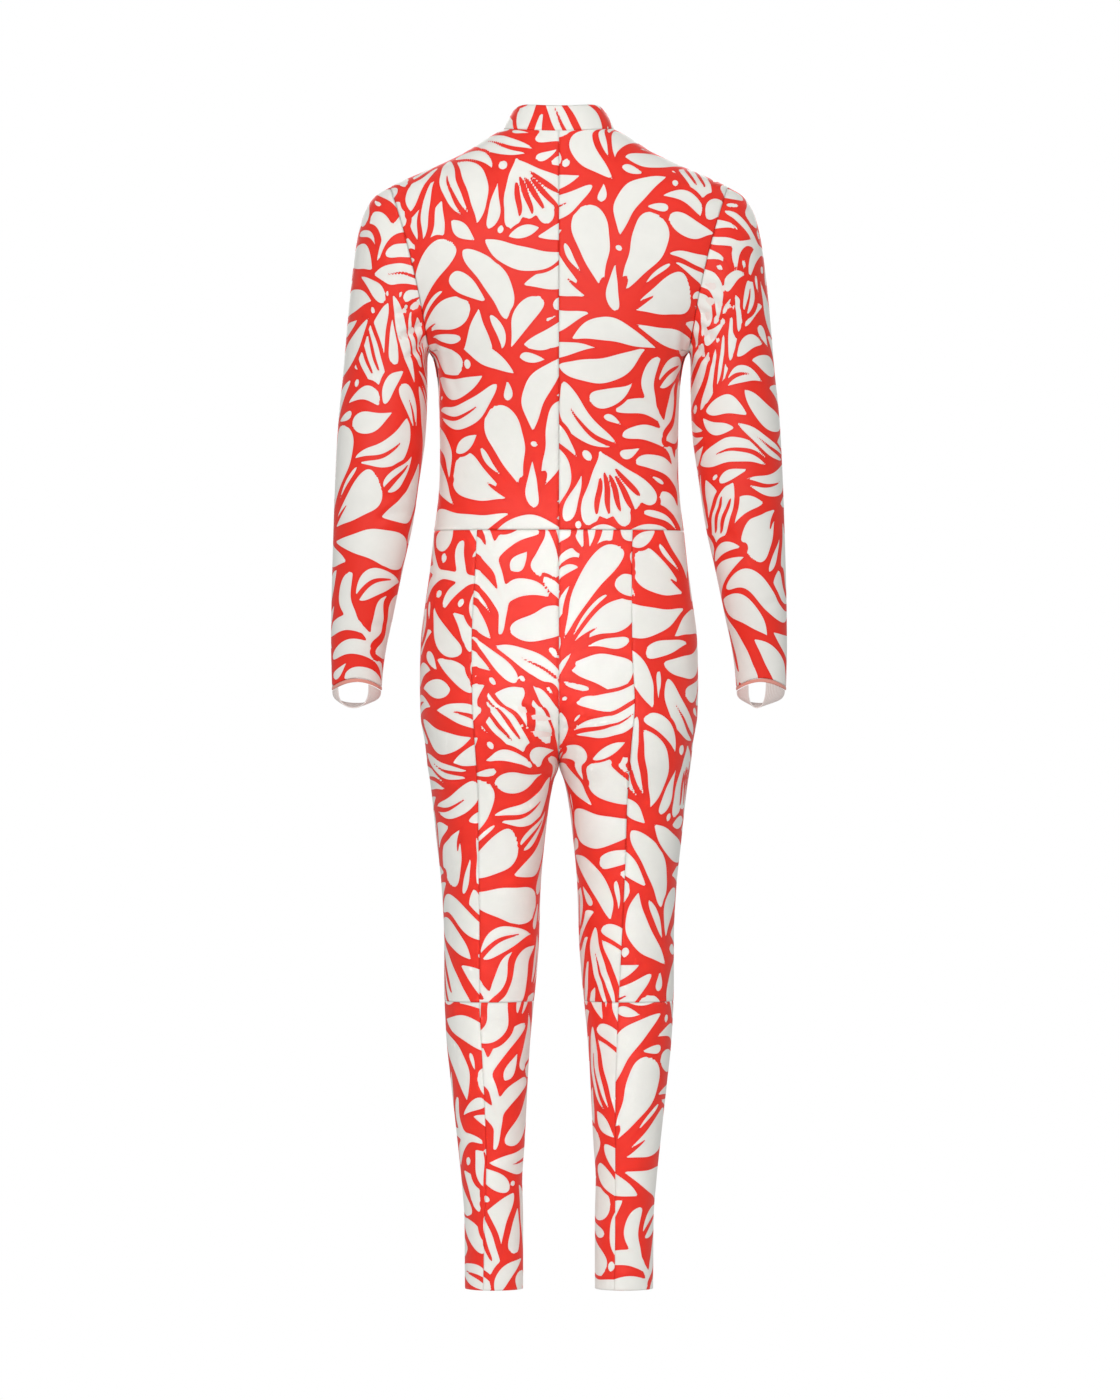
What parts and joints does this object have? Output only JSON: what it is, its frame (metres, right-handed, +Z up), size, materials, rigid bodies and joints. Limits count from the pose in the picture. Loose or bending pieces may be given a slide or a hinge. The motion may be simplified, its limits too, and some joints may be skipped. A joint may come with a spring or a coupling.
{
  "type": "ski race suit",
  "caption": "One-piece close-fitting race suit with stand collar, long sleeves ending in hand loops, long legs and a front zip, standing filled out as if worn.",
  "frame": {"origin": "inside the neck, level with the collar seam at the centre back, in the middle of the body and in the plane of the shoulder points; the wearer holds the suit there", "axes": "+Z up along the body, +X towards the wearer's left, +Y out of the wearer's back, the front faces -Y"},
  "size_m": [0.548, 0.2427, 1.4189],
  "materials": {
    "printed_knit": "smooth stretch knit, red with off-white cut-out leaf and flower shapes, slight sheen",
    "elastic": "soft off-white elastic",
    "zip_tape": "red woven tape with a closed coil",
    "metal": "satin"
  },
  "bodies": {
    "suit": {"collar": "printed_knit", "back_bodice_left": "printed_knit", "front_bodice_left": "printed_knit", "sleeve_left": "printed_knit", "seat_left": "printed_knit", "side_leg_left": "printed_knit", "front_leg_left": "printed_knit", "calf_left": "printed_knit", "lower_side_left": "printed_knit", "shin_left": "printed_knit", "back_bodice_right": "printed_knit", "front_bodice_right": "printed_knit", "sleeve_right": "printed_knit", "seat_right": "printed_knit", "side_leg_right": "printed_knit", "front_leg_right": "printed_knit", "calf_right": "printed_knit", "lower_side_right": "printed_knit", "shin_right": "printed_knit", "cuff_binding_left": "elastic", "hand_loop_left": "elastic", "cuff_binding_right": "elastic", "hand_loop_right": "elastic", "zip": "zip_tape", "zip_slider": "metal"},
    "pull": {"zip_pull": "metal"}
  },
  "joints": [
    {"name": "zip_pull_hinge", "type": "hinge", "parent": "suit", "child": "pull", "pos_m": [0, -0.0644, -0.0172], "axis": [-1, 0, 0], "range_deg": [0, 170]}
  ]
}
